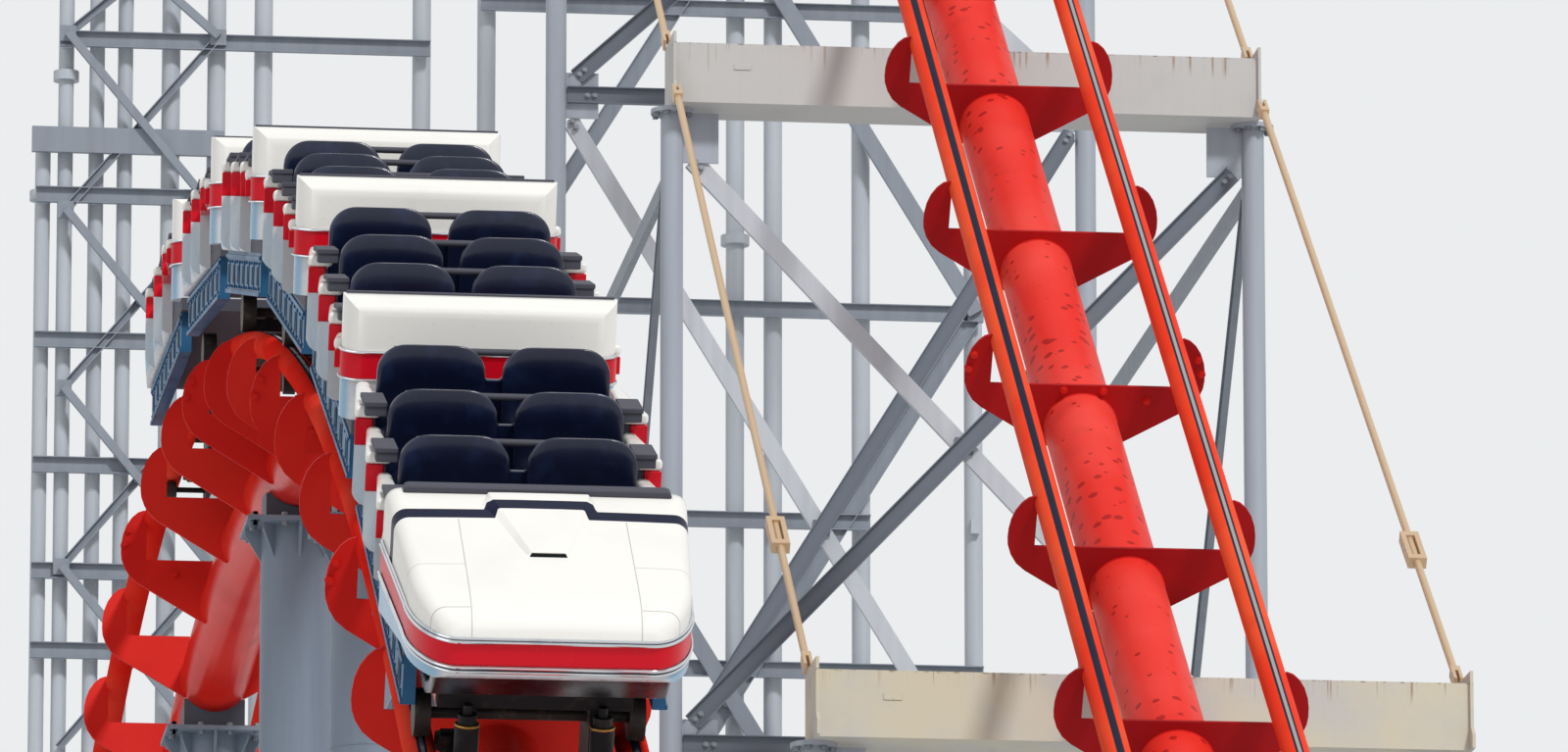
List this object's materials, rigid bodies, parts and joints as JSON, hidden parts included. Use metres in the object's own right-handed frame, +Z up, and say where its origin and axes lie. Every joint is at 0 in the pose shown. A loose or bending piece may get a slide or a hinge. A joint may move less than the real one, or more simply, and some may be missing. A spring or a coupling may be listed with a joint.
{
  "type": "roller coaster section",
  "caption": "Train of open cars on a curved red steel hill track, beside a braced grey tower whose cross beams carry a second steep straight track.",
  "frame": {"origin": "centre of the underside of the crest column's base plate, at ground level", "axes": "+X across the tracks from the hill track towards the tower, +Y along both tracks in the direction in which the drop track climbs, +Z up"},
  "size_m": [8.299, 39.0196, 30.6001],
  "materials": {
    "red_track": "gloss paint, weathered spots",
    "red_rail": "gloss paint with a worn dark strip",
    "red_plate": "satin paint",
    "dark_steel": "satin paint",
    "grey_steel": "satin paint",
    "brace_grey": "satin paint",
    "beam_grey": "weathered paint with rust streaks",
    "rusty_rod": "rusted steel",
    "white_shell": "gloss moulded shell",
    "red_band": "gloss moulded band",
    "silver_shell": "silver-blue gloss shell",
    "chrome_trim": "polished",
    "black_pad": "soft pad",
    "blue_panel": "steel-blue satin paint",
    "black_steel": "greasy dark steel",
    "navy_seat": "gloss padded seat",
    "wheel_tread": "dark polyurethane tread"
  },
  "bodies": {
    "structure": {"hill_spine": "red_track", "hill_rails": "red_rail", "hill_tie_webs": "red_plate", "hill_tie_hooks": "red_plate", "track_saddles": "dark_steel", "hill_columns": "grey_steel", "column_gussets": "grey_steel", "drop_spine": "red_track", "drop_rails": "red_rail", "drop_tie_webs": "red_plate", "drop_tie_hooks": "red_plate", "cross_beams": "beam_grey", "beam_end_plates": "beam_grey", "bent_columns": "grey_steel", "bent_bracing": "brace_grey", "side_bracing": "brace_grey", "far_columns": "grey_steel", "far_bracing": "brace_grey", "tie_rods": "rusty_rod", "base_plates": "dark_steel"},
    "train": {"nose_hood": "white_shell", "nose_band": "red_band", "nose_bumper": "chrome_trim", "dash_bar": "black_pad", "fairings": "white_shell", "red_bands": "red_band", "side_skirts": "silver_shell", "side_caps": "white_shell", "car_floors": "dark_steel", "chassis_panels": "blue_panel", "chassis_beams": "black_steel", "seat_cushions": "navy_seat", "seat_backs": "navy_seat", "grab_rails": "black_pad", "arm_pads": "black_pad", "wheel_carriers": "black_steel", "guide_wheels": "wheel_tread", "couplers": "black_steel"},
    "axle_1": {"axle_1": "wheel_tread"},
    "axle_2": {"axle_2": "wheel_tread"},
    "axle_3": {"axle_3": "wheel_tread"},
    "axle_4": {"axle_4": "wheel_tread"},
    "axle_5": {"axle_5": "wheel_tread"},
    "axle_6": {"axle_6": "wheel_tread"},
    "axle_7": {"axle_7": "wheel_tread"}
  },
  "joints": [
    {"name": "train_run", "type": "hinge", "parent": "structure", "child": "train", "pos_m": [0, 4.1, -18.3], "axis": [1, 0, 0], "range_deg": [-8, 2.5]},
    {"name": "axle_spin_1", "type": "hinge", "parent": "train", "child": "axle_1", "pos_m": [0, -15.55273, 13.53121], "axis": [1, 0, 0], "continuous": true},
    {"name": "axle_spin_2", "type": "hinge", "parent": "train", "child": "axle_2", "pos_m": [0, -13.11685, 14.91198], "axis": [1, 0, 0], "continuous": true},
    {"name": "axle_spin_3", "type": "hinge", "parent": "train", "child": "axle_3", "pos_m": [0, -9.91002, 16.38681], "axis": [1, 0, 0], "continuous": true},
    {"name": "axle_spin_4", "type": "hinge", "parent": "train", "child": "axle_4", "pos_m": [0, -6.57846, 17.55284], "axis": [1, 0, 0], "continuous": true},
    {"name": "axle_spin_5", "type": "hinge", "parent": "train", "child": "axle_5", "pos_m": [0, -3.15183, 18.39968], "axis": [1, 0, 0], "continuous": true},
    {"name": "axle_spin_6", "type": "hinge", "parent": "train", "child": "axle_6", "pos_m": [0, 0.33936, 18.9198], "axis": [1, 0, 0], "continuous": true},
    {"name": "axle_spin_7", "type": "hinge", "parent": "train", "child": "axle_7", "pos_m": [0, 3.86403, 19.10856], "axis": [1, 0, 0], "continuous": true}
  ]
}
